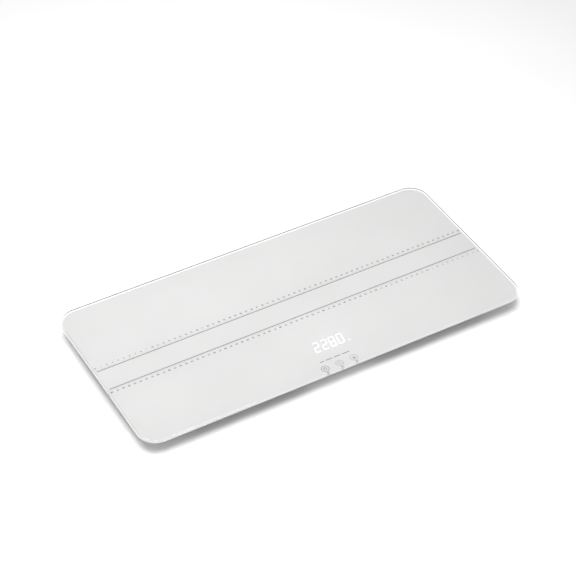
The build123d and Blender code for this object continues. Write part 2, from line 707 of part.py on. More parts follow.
with BuildPart() as touch_springs:
    spring_pitch = 0.7
    wire_radius = 0.22
    coil_radius = 2.8
    spring_height = FILM_BOTTOM - BOARD_TOP - 2 * wire_radius - 0.1
    for key_x in (-KEY_PITCH, 0.0, KEY_PITCH):
        foot = (key_x, KEY_Y, BOARD_TOP + wire_radius + 0.05)
        with BuildLine():
            Helix(spring_pitch, spring_height, coil_radius, center=foot)
        with BuildSketch(Plane(origin=(key_x + coil_radius, KEY_Y, foot[2]), z_dir=(0, 1, 0))):
            Circle(wire_radius)
        sweep(is_frenet=True)
keep(touch_springs, "touch_springs")


# ------------------------------------------------------------------ display


def slanted(centre_x, x, y):
    """A point of a digit, in the display's own plane, leaning by the digits' slant."""
    lean = math.tan(math.radians(DIGIT_SLANT))
    return (centre_x + x + y * lean, DISPLAY_CENTRE_Y + y)


def segment_outlines(centre_x, width):
    """The seven six-sided segments of one digit, each a list of points."""
    half_width = (DIGIT_WIDTH - width) / 2
    half_height = (DIGIT_HEIGHT - width) / 4
    half = width / 2
    outlines = []
    for row in (-1, 0, 1):
        y = row * 2 * half_height
        inner = half_width - SEGMENT_GAP
        flat = inner - half
        corners = [
            (-inner, y),
            (-flat, y + half),
            (flat, y + half),
            (inner, y),
            (flat, y - half),
            (-flat, y - half),
        ]
        outlines.append([slanted(centre_x, *corner) for corner in corners])
    for x in (-half_width, half_width):
        for row in (-1, 1):
            y = row * half_height
            inner = half_height - SEGMENT_GAP
            flat = inner - half
            corners = [
                (x, y - inner),
                (x + half, y - flat),
                (x + half, y + flat),
                (x, y + inner),
                (x - half, y + flat),
                (x - half, y - flat),
            ]
            outlines.append([slanted(centre_x, *corner) for corner in corners])
    return outlines


digit_centres = [DISPLAY_CENTRE_X + (place - 1.5) * DIGIT_PITCH for place in range(4)]
unit_mark = (DISPLAY_CENTRE_X + 32.8, DISPLAY_CENTRE_Y - 10.0)


def draw_segments(width):
    """All the display's segments and its unit mark, in the sketch being built."""
    for centre_x in digit_centres:
        for outline in segment_outlines(centre_x, width):
            Polygon(*outline, align=None)
    with Locations(unit_mark):
        Rectangle(width + 1.4, width)


with BuildPart() as display_block:
    box_between(BLOCK_X, BLOCK_Y, (BOARD_TOP, DISPLAY_TOP))
    with BuildSketch(level(BOARD_TOP)):
        draw_segments(SEGMENT_WIDTH)
    extrude(amount=DISPLAY_TOP - BOARD_TOP, mode=Mode.SUBTRACT)
keep(display_block, "display_block")

with BuildPart() as display_segments:
    with BuildSketch(level(BOARD_TOP + LED_HEIGHT + 0.2)):
        draw_segments(SEGMENT_WIDTH)
    extrude(amount=DISPLAY_TOP - BOARD_TOP - LED_HEIGHT - 0.2)
keep(display_segments, "display_segments")

with BuildPart() as display_leds:
    with BuildSketch(level(BOARD_TOP)):
        for centre_x in digit_centres:
            for outline in segment_outlines(centre_x, SEGMENT_WIDTH):
                middle_x = sum(point[0] for point in outline) / len(outline)
                middle_y = sum(point[1] for point in outline) / len(outline)
                with Locations((middle_x, middle_y)):
                    Rectangle(1.0, 1.0)
        with Locations(unit_mark):
            Rectangle(1.0, 1.0)
    extrude(amount=LED_HEIGHT)
keep(display_leds, "display_leds")


# ------------------------------------------------------------------ batteries and contacts

battery_length = BATTERY_BODY_LENGTH + BATTERY_NUB_LENGTH
spring_room = BAY_LENGTH - 2 * CONTACT_THICKNESS - battery_length


def battery_places():
    """Each battery's place: the x of its flat end, the way its nub points, and its row's y."""
    places = []
    for side in (-1, 1):
        inner = side * (BAY_DIVIDER / 2 + CONTACT_THICKNESS)
        outer = side * (bay_outer - CONTACT_THICKNESS)
        places.append((inner + side * spring_room, side, BAY_CENTRE_Y - ROW_PITCH / 2))
        places.append((outer - side * spring_room, -side, BAY_CENTRE_Y + ROW_PITCH / 2))
    return places


def make_battery(flat_x, way, row_y):
    """One AAA cell lying along X."""
    flat_end = (flat_x, row_y, BATTERY_AXIS_HEIGHT)
    with BuildPart() as battery:
        with BuildSketch(Plane(origin=flat_end, x_dir=(way, 0, 0), z_dir=(0, -way, 0))):
            with BuildLine():
                Polyline(
                    (0, 0),
                    (0, BATTERY_RADIUS - BATTERY_RIM),
                    (BATTERY_RIM, BATTERY_RADIUS),
                    (BATTERY_BODY_LENGTH - BATTERY_RIM, BATTERY_RADIUS),
                    (BATTERY_BODY_LENGTH, BATTERY_RADIUS - BATTERY_RIM),
                    (BATTERY_BODY_LENGTH, BATTERY_NUB_RADIUS),
                    (battery_length, BATTERY_NUB_RADIUS),
                    (battery_length, 0),
                    close=True,
                )
            make_face()
        revolve(axis=Axis(flat_end, (1, 0, 0)))
    return battery


for number, (flat_x, way, row_y) in enumerate(battery_places(), start=1):
    keep(make_battery(flat_x, way, row_y), f"battery_{number}")

with BuildPart() as contact_plates:
    plate_zs = (BATTERY_AXIS_HEIGHT - CONTACT_SIZE / 2, BATTERY_AXIS_HEIGHT + CONTACT_SIZE / 2)
    for side in (-1, 1):
        inner_xs = sorted((side * BAY_DIVIDER / 2, side * (BAY_DIVIDER / 2 + CONTACT_THICKNESS)))
        outer_xs = sorted((side * (bay_outer - CONTACT_THICKNESS), side * bay_outer))
        for row_y in (BAY_CENTRE_Y - ROW_PITCH / 2, BAY_CENTRE_Y + ROW_PITCH / 2):
            plate_ys = (row_y - CONTACT_SIZE / 2, row_y + CONTACT_SIZE / 2)
            box_between(outer_xs, plate_ys, plate_zs)
        joined_ys = (
            BAY_CENTRE_Y - ROW_PITCH / 2 - CONTACT_SIZE / 2,
            BAY_CENTRE_Y + ROW_PITCH / 2 + CONTACT_SIZE / 2,
        )
        box_between(inner_xs, joined_ys, plate_zs)
        # a tail through the bay's wall, to solder a battery lead on
        tail_ys = (board_cavity_rear - 2.0, joined_ys[0])
        box_between(outer_xs, tail_ys, CONTACT_TAIL_ZS)
keep(contact_plates, "battery_contact_plates")

with BuildPart() as contact_springs:
    coil_height = spring_room - 2 * SPRING_WIRE_RADIUS - 0.1
    for flat_x, way, row_y in battery_places():
        coil_start = flat_x - way * (spring_room - SPRING_WIRE_RADIUS - 0.05)
        with BuildLine():
            Helix(
                coil_height / SPRING_TURNS,
                coil_height,
                SPRING_COIL_RADIUS,
                center=(coil_start, row_y, BATTERY_AXIS_HEIGHT),
                direction=(way, 0, 0),
            )
        helix_start = contact_springs.pending_edges[0] @ 0
        helix_way = contact_springs.pending_edges[0] % 0
        with BuildSketch(Plane(origin=helix_start, z_dir=helix_way)):
            Circle(SPRING_WIRE_RADIUS)
        sweep(is_frenet=True)
keep(contact_springs, "battery_contact_springs")

with BuildPart() as battery_leads:
    for side in (-1, 1):
        solder_x = side * (bay_outer - CONTACT_THICKNESS - BATTERY_LEAD_RADIUS)
        joint_x = solder_x - side * 20.0
        joint_y = board_cavity_rear - 7.0
        points = [
            (solder_x, board_cavity_rear - 0.5, 13.0),
            (solder_x, joint_y + 0.2, 12.8),
            (joint_x, joint_y, 13.2),
            (joint_x, joint_y, BOARD_BOTTOM),
        ]
        with BuildLine():
            FilletPolyline(*points, radius=bend_radii(points))
        with BuildSketch(Plane(origin=points[0], z_dir=Vector(*points[1]) - Vector(*points[0]))):
            Circle(BATTERY_LEAD_RADIUS)
        sweep()
keep(battery_leads, "battery_leads")
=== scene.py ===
import json
import math

import bmesh
import bpy
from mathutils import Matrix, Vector


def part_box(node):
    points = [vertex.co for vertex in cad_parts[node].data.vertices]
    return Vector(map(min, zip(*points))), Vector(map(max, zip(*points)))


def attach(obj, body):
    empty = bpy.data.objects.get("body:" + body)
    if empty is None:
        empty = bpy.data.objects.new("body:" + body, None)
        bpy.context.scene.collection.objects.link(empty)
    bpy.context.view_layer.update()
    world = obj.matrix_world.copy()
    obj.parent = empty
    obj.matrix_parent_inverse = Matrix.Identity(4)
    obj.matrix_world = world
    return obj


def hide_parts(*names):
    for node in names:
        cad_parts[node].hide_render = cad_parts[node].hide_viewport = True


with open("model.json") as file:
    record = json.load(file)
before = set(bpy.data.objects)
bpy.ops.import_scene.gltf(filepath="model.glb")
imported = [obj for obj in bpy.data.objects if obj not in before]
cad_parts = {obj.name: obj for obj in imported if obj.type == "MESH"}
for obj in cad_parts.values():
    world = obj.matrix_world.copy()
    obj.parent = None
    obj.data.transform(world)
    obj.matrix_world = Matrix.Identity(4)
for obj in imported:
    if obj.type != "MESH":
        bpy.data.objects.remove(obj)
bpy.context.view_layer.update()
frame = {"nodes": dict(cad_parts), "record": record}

# Looks of the animal weighing scale. Metres, in the frame's own axes: +X along the platform, -Y the side
# of the keys, +Z up. Everything made here rides on the platform, and the CAD pieces get their materials.

MM = 0.001
CENTIMETRE = 10 * MM

glass_low, glass_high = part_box("glass_platform")
film_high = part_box("backing_film")[1]
PLATE_LENGTH = glass_high.x - glass_low.x
PLATE_WIDTH = glass_high.y - glass_low.y
FRONT_EDGE = glass_low.y
PLATE_CORNER_RADIUS = 33 * MM
PLATE_EDGE_ROUND = 1.0 * MM
CORNER_STEPS = 24
EDGE_STEPS = 6

# The film is bonded to the glass: the slab reaches a hair into it, so that no air shows between them.
# The print and the lit segments lie on the film, inside the slab.
INK_BOTTOM = film_high.z + 0.005 * MM
INK_TOP = film_high.z + 0.030 * MM
GLASS_BOTTOM = film_high.z - 0.050 * MM

# Rulers: two base lines along the platform, marked outwards from the middle of the platform
RULER_CENTIMETRES = 68
RULER_HALF_LENGTH = RULER_CENTIMETRES * CENTIMETRE / 2
RULER_REAR_Y = 18.0 * MM
RULER_FRONT_Y = -26.1 * MM
RULER_LINE_WIDTH = 1.2 * MM
# Marks by their spacing in millimetres: how far they stand out from the line, and how wide they are
TICKS = {1: (2.2 * MM, 0.12 * MM), 5: (3.0 * MM, 0.15 * MM), 10: (3.8 * MM, 0.18 * MM)}
NUMBER_DISTANCE = 7.9 * MM
NUMBER_SIZE = 4.2 * MM
NUMBER_WEIGHT = 0.03

# Keys and the line of small print over them
KEY_PITCH = 26.25 * MM
KEY_Y = FRONT_EDGE + 14.1 * MM
KEY_RADIUS = 6.2 * MM
KEY_RING_WIDTH = 0.8 * MM
SIGN_RADIUS = 2.6 * MM
SIGN_STROKE = 0.9 * MM
STROKE_STEPS = 24
POWER_ARC = (120, 420)
SWAP_ARC = (20, 140)
POWER_BAR_BOTTOM = 0.6 * MM
POWER_BAR_TOP = 3.6 * MM
ARROW_HALF_WIDTH = 1.1 * MM
ARROW_LENGTH = 1.7 * MM
PADLOCK_HALF_WIDTH = 2.3 * MM
PADLOCK_BOTTOM = -2.8 * MM
PADLOCK_TOP = 0.5 * MM
SHACKLE_Y = 0.9 * MM
SHACKLE_RADIUS = 1.5 * MM
SHACKLE_STROKE = 0.6 * MM
MARK_WIDTH = 1.0 * MM
MARK_PITCH = 1.3 * MM
WORD_SPACE = 3.0 * MM
SHORT_MARK_SHARE = 0.75
KEY_LABEL_Y = FRONT_EDGE + 5.6 * MM
KEY_LABEL_HEIGHT = 2.0 * MM
KEY_LABEL_WORDS = (3,)
SMALL_PRINT_X = 0.4 * MM
SMALL_PRINT_Y = FRONT_EDGE + 30.2 * MM
SMALL_PRINT_HEIGHT = 2.2 * MM
SMALL_PRINT_WORDS = (6, 9, 9, 10)

# Display
DIGITS = "2280"
DIGIT_PITCH = 14.4 * MM
DIGIT_WIDTH = 10.0 * MM
DIGIT_HEIGHT = 22.0 * MM
DIGIT_SLANT = math.radians(9.0)
SEGMENT_WIDTH = 1.3 * MM    # the lit middle of a segment, narrower than the CAD's own
SEGMENT_GAP = 0.35 * MM
DISPLAY_CENTRE = Vector((8.1 * MM, -104.1 * MM))
UNIT_MARK = Vector((40.9 * MM, -114.1 * MM))
UNIT_MARK_HEIGHT = 2.4 * MM
UNIT_MARK_PITCH = 1.3 * MM
UNIT_MARK_LEAN = 0.4 * MM
UNIT_MARK_STROKE = 0.4 * MM
DIGIT_GLOW = 0.42
UNIT_MARK_GLOW = 0.12

# Noise mostly lies between these two values
NOISE_LOW = 0.3
NOISE_HIGH = 0.7

# Floor, light and camera
FLOOR_HALF = 6.0
WORLD_STRENGTH = 0.52
LAMP_PLACE = (-0.18, 0.1, 1.7)
LAMP_SIZE = 1.25
LAMP_WATTS = 32.0
VIEW_AZIMUTH = math.radians(-29.681)
VIEW_ELEVATION = math.radians(41.748)
VIEW_DISTANCE = 3.1665
VIEW_AIM = Vector((0.011, 0.031, 0.036))
LENS_MM = 121.17
SENSOR_MM = 36.0
CAMERA_REACH = 50.0


# ------------------------------------------------------------------ flat shapes


def rectangle(low, high):
    """The four corners of an upright rectangle."""
    return [(low[0], low[1]), (high[0], low[1]), (high[0], high[1]), (low[0], high[1])]


def bar(start, end, width):
    """A straight stroke from start to end."""
    along = Vector(end) - Vector(start)
    side = Vector((-along.y, along.x)).normalized() * width / 2
    corners = (Vector(start) - side, Vector(end) - side, Vector(end) + side, Vector(start) + side)
    return [(corner.x, corner.y) for corner in corners]


def arc_band(centre, radius, width, start, end):
    """A curved stroke of one width, from one angle to another, anticlockwise, in degrees."""
    points = []
    outward = range(STROKE_STEPS + 1)
    for rim, order in ((radius + width / 2, outward), (radius - width / 2, reversed(outward))):
        for step in order:
            angle = math.radians(start + (end - start) * step / STROKE_STEPS)
            points.append((centre[0] + rim * math.cos(angle), centre[1] + rim * math.sin(angle)))
    return points


def ring(centre, radius, width):
    """A full circle as two half strokes."""
    return [arc_band(centre, radius, width, 0, 180), arc_band(centre, radius, width, 180, 360)]


def add_prism(bm, outline, low, high):
    """One closed slab of an outline, between two heights."""
    lower = [bm.verts.new((x, y, low)) for x, y in outline]
    upper = [bm.verts.new((x, y, high)) for x, y in outline]
    bm.faces.new(list(reversed(lower)))
    bm.faces.new(upper)
    count = len(outline)
    for i in range(count):
        j = (i + 1) % count
        bm.faces.new((lower[i], lower[j], upper[j], upper[i]))


def finish_piece(name, bm, material):
    """Turn a bmesh into a piece of the platform, with its material."""
    mesh = bpy.data.meshes.new(name)
    bmesh.ops.recalc_face_normals(bm, faces=bm.faces)
    bm.to_mesh(mesh)
    bm.free()
    mesh.materials.append(material)
    piece = bpy.data.objects.new(name, mesh)
    bpy.context.scene.collection.objects.link(piece)
    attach(piece, "platform")
    return piece


def ink_piece(name, outlines, material):
    """A print of several flat outlines under the glass."""
    bm = bmesh.new()
    for outline in outlines:
        add_prism(bm, outline, INK_BOTTOM, INK_TOP)
    return finish_piece(name, bm, material)


# ------------------------------------------------------------------ materials


class Maker:
    """A node material under construction."""

    def __init__(self, name):
        self.material = bpy.data.materials.new(name)
        self.material.use_nodes = True
        self.nodes = self.material.node_tree.nodes
        self.links = self.material.node_tree.links
        self.shader = self.nodes["Principled BSDF"]
        self.output = self.nodes["Material Output"]
        self.place = self.add("ShaderNodeTexCoord").outputs["Object"]

    def add(self, kind, **values):
        """A node with some of its inputs set."""
        node = self.nodes.new(kind)
        for name, value in values.items():
            node.inputs[name.replace("_", " ")].default_value = value
        return node

    def stretched(self, scale):
        """The object's place, stretched by a factor on each axis."""
        mapping = self.add("ShaderNodeMapping", Scale=scale)
        self.links.new(self.place, mapping.inputs["Vector"])
        return mapping.outputs["Vector"]

    def noise(self, scale, detail=4.0, stretch=None):
        """A noise value over the surface; scale is in features per metre."""
        texture = self.add("ShaderNodeTexNoise", Scale=scale, Detail=detail)
        place = self.stretched(stretch) if stretch else self.place
        self.links.new(place, texture.inputs["Vector"])
        return texture.outputs["Fac"]

    def ramp(self, value, stops):
        """A colour ramp: stops are (position, colour)."""
        node = self.nodes.new("ShaderNodeValToRGB")
        elements = node.color_ramp.elements
        while len(elements) < len(stops):
            elements.new(1.0)
        for element, (position, colour) in zip(elements, stops):
            element.position = position
            element.color = (*colour, 1.0)
        self.links.new(value, node.inputs["Fac"])
        return node.outputs["Color"]

    def span(self, value, low, high):
        """A noise value spread over low to high."""
        node = self.add("ShaderNodeMapRange")
        node.inputs["From Min"].default_value = NOISE_LOW
        node.inputs["From Max"].default_value = NOISE_HIGH
        node.inputs["To Min"].default_value = low
        node.inputs["To Max"].default_value = high
        self.links.new(value, node.inputs["Value"])
        return node.outputs["Result"]

    def shade(self, value, dark, light):
        """Base colour between two near shades."""
        colour = self.ramp(value, ((NOISE_LOW, dark), (NOISE_HIGH, light)))
        self.links.new(colour, self.shader.inputs["Base Color"])

    def roughness(self, value, low, high):
        """Roughness that varies with a noise value."""
        self.links.new(self.span(value, low, high), self.shader.inputs["Roughness"])

    def bump(self, value, depth, strength):
        """Surface relief, depth in metres."""
        node = self.add("ShaderNodeBump", Strength=strength, Distance=depth)
        self.links.new(value, node.inputs["Height"])
        self.links.new(node.outputs["Normal"], self.shader.inputs["Normal"])

    def set(self, **values):
        """Values of the shader that are the same all over."""
        for name, value in values.items():
            self.shader.inputs[name.replace("_", " ")].default_value = value


def moulded_plastic(name, dark, light):
    """Moulded plastic: a faint cloudiness in the colour and a fine spark-eroded grain."""
    maker = Maker(name)
    maker.shade(maker.noise(18), dark, light)
    fine = maker.noise(1400, 3)
    maker.roughness(fine, 0.36, 0.5)
    maker.bump(fine, 0.03 * MM, 0.5)
    maker.set(IOR=1.5)
    return maker.material


def drawn_metal(name, dark, light, stretch=(1, 14, 14)):
    """Rolled, drawn or plated metal with fine lines one way."""
    maker = Maker(name)
    lines = maker.noise(900, 5, stretch)
    maker.shade(lines, dark, light)
    maker.roughness(maker.noise(120), 0.2, 0.38)
    maker.bump(lines, 0.008 * MM, 0.6)
    maker.set(Metallic=1.0)
    return maker.material


def elastomer(name, dark, light, rough=(0.6, 0.8)):
    """Rubber or silicone: a little uneven, and matt unless a smoother roughness is given."""
    maker = Maker(name)
    maker.shade(maker.noise(60, 5), dark, light)
    fine = maker.noise(900, 5)
    maker.roughness(fine, *rough)
    maker.bump(fine, 0.06 * MM, 0.6)
    maker.set(Sheen_Weight=0.08, Sheen_Roughness=0.5, IOR=1.45)
    return maker.material


def foam(name):
    """Closed-cell foam tape, with small pores in its cut edge."""
    maker = Maker(name)
    cells = maker.add("ShaderNodeTexVoronoi", Scale=2600.0)
    maker.links.new(maker.place, cells.inputs["Vector"])
    # The pores are painted darker than the cell walls around them: painted shade in their hollows.
    maker.shade(cells.outputs["Distance"], (0.52, 0.52, 0.5), (0.78, 0.78, 0.76))
    maker.bump(cells.outputs["Distance"], 0.15 * MM, 0.8)
    maker.set(Roughness=0.9)
    return maker.material


def film(name):
    """The white film behind the glass: dense, satin, very faintly mottled. It is shaded darker than white
    film is, so that the plate comes out in its right tone under this light."""
    maker = Maker(name)
    maker.shade(maker.noise(7, 3), (0.499, 0.497, 0.496), (0.515, 0.513, 0.512))
    fine = maker.noise(3000, 2)
    maker.roughness(fine, 0.55, 0.7)
    maker.bump(fine, 0.01 * MM, 0.3)
    maker.set(Specular_IOR_Level=0.3)
    return maker.material


def printing_ink(name, dark, light):
    """Screen-printed ink, with the slight unevenness of its mesh."""
    maker = Maker(name)
    maker.shade(maker.noise(5200, 2), dark, light)
    maker.set(Roughness=0.6, Specular_IOR_Level=0.3)
    return maker.material


def lit_segment(name, strength):
    """A segment lit from below: white light, a little uneven from its single lamp."""
    maker = Maker(name)
    stops = ((NOISE_LOW, (0.93, 0.95, 1.0)), (NOISE_HIGH, (1.0, 1.0, 1.0)))
    spread = maker.ramp(maker.noise(260, 2), stops)
    maker.links.new(spread, maker.shader.inputs["Base Color"])
    maker.links.new(spread, maker.shader.inputs["Emission Color"])
    maker.set(Emission_Strength=strength, Roughness=0.5)
    return maker.material


def clear_glass(name):
    """Tempered float glass: clear, faintly green in depth, letting lamp light through to the film."""
    maker = Maker(name)
    waves = maker.noise(9, 2)
    maker.shade(waves, (0.99, 0.993, 0.992), (0.995, 0.998, 0.997))
    maker.bump(waves, 0.02 * MM, 0.05)
    maker.set(Transmission_Weight=1.0, Roughness=0.0, IOR=1.52)
    ray = maker.add("ShaderNodeLightPath")
    clear = maker.nodes.new("ShaderNodeBsdfTransparent")
    clear.inputs["Color"].default_value = (0.96, 0.963, 0.962, 1.0)
    mix = maker.nodes.new("ShaderNodeMixShader")
    maker.links.new(ray.outputs["Is Shadow Ray"], mix.inputs["Fac"])
    maker.links.new(maker.shader.outputs["BSDF"], mix.inputs[1])
    maker.links.new(clear.outputs["BSDF"], mix.inputs[2])
    maker.links.new(mix.outputs["Shader"], maker.output.inputs["Surface"])
    return maker.material


def circuit_board(name):
    """Green solder mask over a pattern of copper tracks."""
    maker = Maker(name)
    tracks = maker.add("ShaderNodeTexBrick", Scale=1.0)
    tracks.inputs["Brick Width"].default_value = 9 * MM
    tracks.inputs["Row Height"].default_value = 1.5 * MM
    tracks.inputs["Mortar Size"].default_value = 0.25 * MM
    tracks.inputs["Color1"].default_value = (0.012, 0.13, 0.055, 1)
    tracks.inputs["Color2"].default_value = (0.018, 0.15, 0.062, 1)
    tracks.inputs["Mortar"].default_value = (0.03, 0.24, 0.11, 1)
    maker.links.new(maker.place, tracks.inputs["Vector"])
    maker.links.new(tracks.outputs["Color"], maker.shader.inputs["Base Color"])
    maker.bump(tracks.outputs["Fac"], 0.03 * MM, 0.5)
    maker.roughness(maker.noise(400), 0.25, 0.4)
    return maker.material


def battery_wrap(name):
    """A plain printed sleeve: dark blue, with a thin clear coat."""
    maker = Maker(name)
    fine = maker.noise(700)
    maker.shade(fine, (0.035, 0.075, 0.17), (0.045, 0.09, 0.2))
    maker.roughness(fine, 0.22, 0.34)
    maker.bump(fine, 0.01 * MM, 0.3)
    maker.set(Coat_Weight=0.4, Coat_Roughness=0.1)
    return maker.material


MATERIALS = {
    "clear_glass": clear_glass("clear_glass_look"),
    "white_film": film("white_film_look"),
    "white_abs": moulded_plastic("white_abs_look", (0.72, 0.72, 0.70), (0.78, 0.78, 0.765)),
    "cell_steel": drawn_metal("cell_steel_look", (0.42, 0.42, 0.44), (0.62, 0.62, 0.64)),
    "pad_rubber": elastomer("pad_rubber_look", (0.055, 0.056, 0.058), (0.085, 0.086, 0.09)),
    "foam_tape": foam("foam_tape_look"),
    "screw_steel": drawn_metal("screw_steel_look", (0.4, 0.4, 0.42), (0.58, 0.58, 0.6), (1, 1, 9)),
    "silicone": elastomer("silicone_look", (0.68, 0.68, 0.66), (0.8, 0.8, 0.78), rough=(0.35, 0.5)),
    "gauge_foil": drawn_metal("gauge_foil_look", (0.36, 0.24, 0.12), (0.55, 0.4, 0.22), (16, 1, 1)),
    "lead_jacket": elastomer("lead_jacket_look", (0.2, 0.205, 0.215), (0.26, 0.265, 0.275)),
    "circuit_board": circuit_board("circuit_board_look"),
    "connector_nylon": moulded_plastic("connector_nylon_look", (0.68, 0.64, 0.54), (0.76, 0.72, 0.62)),
    "chip_resin": moulded_plastic("chip_resin_look", (0.012, 0.012, 0.014), (0.02, 0.02, 0.022)),
    "spring_steel": drawn_metal("spring_steel_look", (0.5, 0.5, 0.51), (0.68, 0.68, 0.69), (1, 1, 6)),
    "contact_nickel": drawn_metal("contact_nickel_look", (0.58, 0.56, 0.53), (0.72, 0.7, 0.67)),
    "display_case": moulded_plastic("display_case_look", (0.76, 0.76, 0.76), (0.82, 0.82, 0.82)),
    "lit_segment": lit_segment("lit_segment_look", DIGIT_GLOW),
    "led_chip": moulded_plastic("led_chip_look", (0.72, 0.62, 0.25), (0.82, 0.72, 0.34)),
    "battery_wrap": battery_wrap("battery_wrap_look"),
    "battery_lead_jacket": elastomer("battery_lead_look", (0.3, 0.02, 0.015), (0.38, 0.03, 0.02)),
}
print_grey = printing_ink("print_grey_look", (0.20, 0.20, 0.205), (0.25, 0.25, 0.255))
print_dark = printing_ink("print_dark_look", (0.07, 0.07, 0.072), (0.1, 0.1, 0.102))

for subpart in frame["record"]["subparts"]:
    node = frame["nodes"][subpart["node"]]
    look = MATERIALS[subpart["material_slot"]]
    for material_slot in node.material_slots:
        material_slot.material = look


# ------------------------------------------------------------------ glass platform


def rounded_outline(inset):
    """The platform's outline, drawn in by an inset, as points anticlockwise from its right side."""
    radius = PLATE_CORNER_RADIUS - inset
    half = Vector((PLATE_LENGTH / 2 - PLATE_CORNER_RADIUS, PLATE_WIDTH / 2 - PLATE_CORNER_RADIUS))
    points = []
    for quarter, (side, end) in enumerate(((1, 1), (-1, 1), (-1, -1), (1, -1))):
        for step in range(CORNER_STEPS + 1):
            angle = math.radians(90 * (quarter + step / CORNER_STEPS))
            x = side * half.x + radius * math.cos(angle)
            y = end * half.y + radius * math.sin(angle)
            points.append((x, y))
    return points


def make_glass():
    """One clear slab with rounded arrises all round."""
    levels = []
    for step in range(EDGE_STEPS + 1):
        angle = math.radians(90 * step / EDGE_STEPS)
        inset = PLATE_EDGE_ROUND * (1 - math.sin(angle))
        levels.append((inset, GLASS_BOTTOM + PLATE_EDGE_ROUND * (1 - math.cos(angle))))
    for step in range(EDGE_STEPS + 1):
        angle = math.radians(90 * step / EDGE_STEPS)
        inset = PLATE_EDGE_ROUND * (1 - math.cos(angle))
        levels.append((inset, glass_high.z - PLATE_EDGE_ROUND * (1 - math.sin(angle))))
    bm = bmesh.new()
    loops = [[bm.verts.new((x, y, z)) for x, y in rounded_outline(inset)] for inset, z in levels]
    for lower, upper in zip(loops, loops[1:]):
        for i in range(len(lower)):
            j = (i + 1) % len(lower)
            wall = bm.faces.new((lower[i], lower[j], upper[j], upper[i]))
            wall.smooth = True
    bm.faces.new(list(reversed(loops[0])))
    bm.faces.new(loops[-1])
    glass = finish_piece("glass_slab", bm, MATERIALS["clear_glass"])
    glass.modifiers.new("flat_faces_lead", "WEIGHTED_NORMAL")
    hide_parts("glass_platform")


make_glass()


# ------------------------------------------------------------------ rulers


def ruler_outlines(base_y, way):
    """A base line and its millimetre marks, standing out one way across the platform."""
    half_line = RULER_LINE_WIDTH / 2
    reach = RULER_HALF_LENGTH + half_line
    outlines = [bar((-reach, base_y), (reach, base_y), RULER_LINE_WIDTH)]
    for millimetre in range(RULER_CENTIMETRES * 10 + 1):
        step = 10 if millimetre % 10 == 0 else 5 if millimetre % 5 == 0 else 1
        length, width = TICKS[step]
        x = -RULER_HALF_LENGTH + millimetre * MM
        root = base_y + way * half_line
        tip = base_y + way * (half_line + length)
        outlines.append(rectangle((x - width / 2, min(root, tip)), (x + width / 2, max(root, tip))))
    return outlines


def text_mesh(body):
    """The mesh of a short text, as thick as the print, centred on its own origin."""
    curve = bpy.data.curves.new("number_text", "FONT")
    curve.body = body
    curve.extrude = (INK_TOP - INK_BOTTOM) / 2 / NUMBER_SIZE
    curve.offset = NUMBER_WEIGHT
    curve.align_x = "CENTER"
    curve.align_y = "CENTER"
    holder = bpy.data.objects.new("number_text", curve)
    mesh = bpy.data.meshes.new_from_object(holder)
    bpy.data.objects.remove(holder)
    bpy.data.curves.remove(curve)
    return mesh


def add_number(bm, body, x, y, turn):
    """One number of a ruler; turn is 1 to read from the front, -1 to read from the rear."""
    mesh = text_mesh(body)
    first = len(bm.verts)
    bm.from_mesh(mesh)
    bm.verts.ensure_lookup_table()
    middle = Vector((x, y, (INK_BOTTOM + INK_TOP) / 2))
    for vert in bm.verts[first:]:
        across = Vector((turn * vert.co.x, turn * vert.co.y, vert.co.z))
        vert.co = middle + across * NUMBER_SIZE
    bpy.data.meshes.remove(mesh)


def make_ruler(name, base_y, way):
    """One ruler: its lines, and its numbers read from its own side of the platform."""
    ink_piece(f"{name}_lines", ruler_outlines(base_y, way), print_dark)
    bm = bmesh.new()
    for centimetre in range(RULER_CENTIMETRES + 1):
        x = way * (-RULER_HALF_LENGTH + centimetre * CENTIMETRE)
        add_number(bm, str(centimetre), x, base_y + way * NUMBER_DISTANCE, way)
    finish_piece(f"{name}_numbers", bm, print_dark)


make_ruler("rear_ruler", RULER_REAR_Y, 1)
make_ruler("front_ruler", RULER_FRONT_Y, -1)


# ------------------------------------------------------------------ keys and small print


def power_sign(x, y):
    """A broken circle with a bar in its gap, for switching on."""
    circle = arc_band((x, y), SIGN_RADIUS, SIGN_STROKE, *POWER_ARC)
    upright = bar((x, y + POWER_BAR_BOTTOM), (x, y + POWER_BAR_TOP), SIGN_STROKE)
    return [circle, upright]


def swap_sign(x, y):
    """Two arrows chasing each other round, for changing the unit."""
    outlines = []
    for turn in (0, 180):
        start, end = (turn + limit for limit in SWAP_ARC)
        outlines.append(arc_band((x, y), SIGN_RADIUS, SIGN_STROKE, start, end))
        angle = math.radians(end)
        tip_way = Vector((-math.sin(angle), math.cos(angle)))
        out_way = Vector((math.cos(angle), math.sin(angle)))
        base = Vector((x, y)) + out_way * SIGN_RADIUS
        half_base = out_way * ARROW_HALF_WIDTH
        corners = (base - half_base, base + half_base, base + tip_way * ARROW_LENGTH)
        outlines.append([(corner.x, corner.y) for corner in corners])
    return outlines


def hold_sign(x, y):
    """A padlock, for holding the reading."""
    low = (x - PADLOCK_HALF_WIDTH, y + PADLOCK_BOTTOM)
    high = (x + PADLOCK_HALF_WIDTH, y + PADLOCK_TOP)
    body = rectangle(low, high)
    shackle_y = y + SHACKLE_Y
    shackle = arc_band((x, shackle_y), SHACKLE_RADIUS, SHACKLE_STROKE, 0, 180)
    legs = []
    for leg_x in (x - SHACKLE_RADIUS, x + SHACKLE_RADIUS):
        legs.append(bar((leg_x, y + PADLOCK_TOP), (leg_x, shackle_y), SHACKLE_STROKE))
    return [body, shackle, *legs]


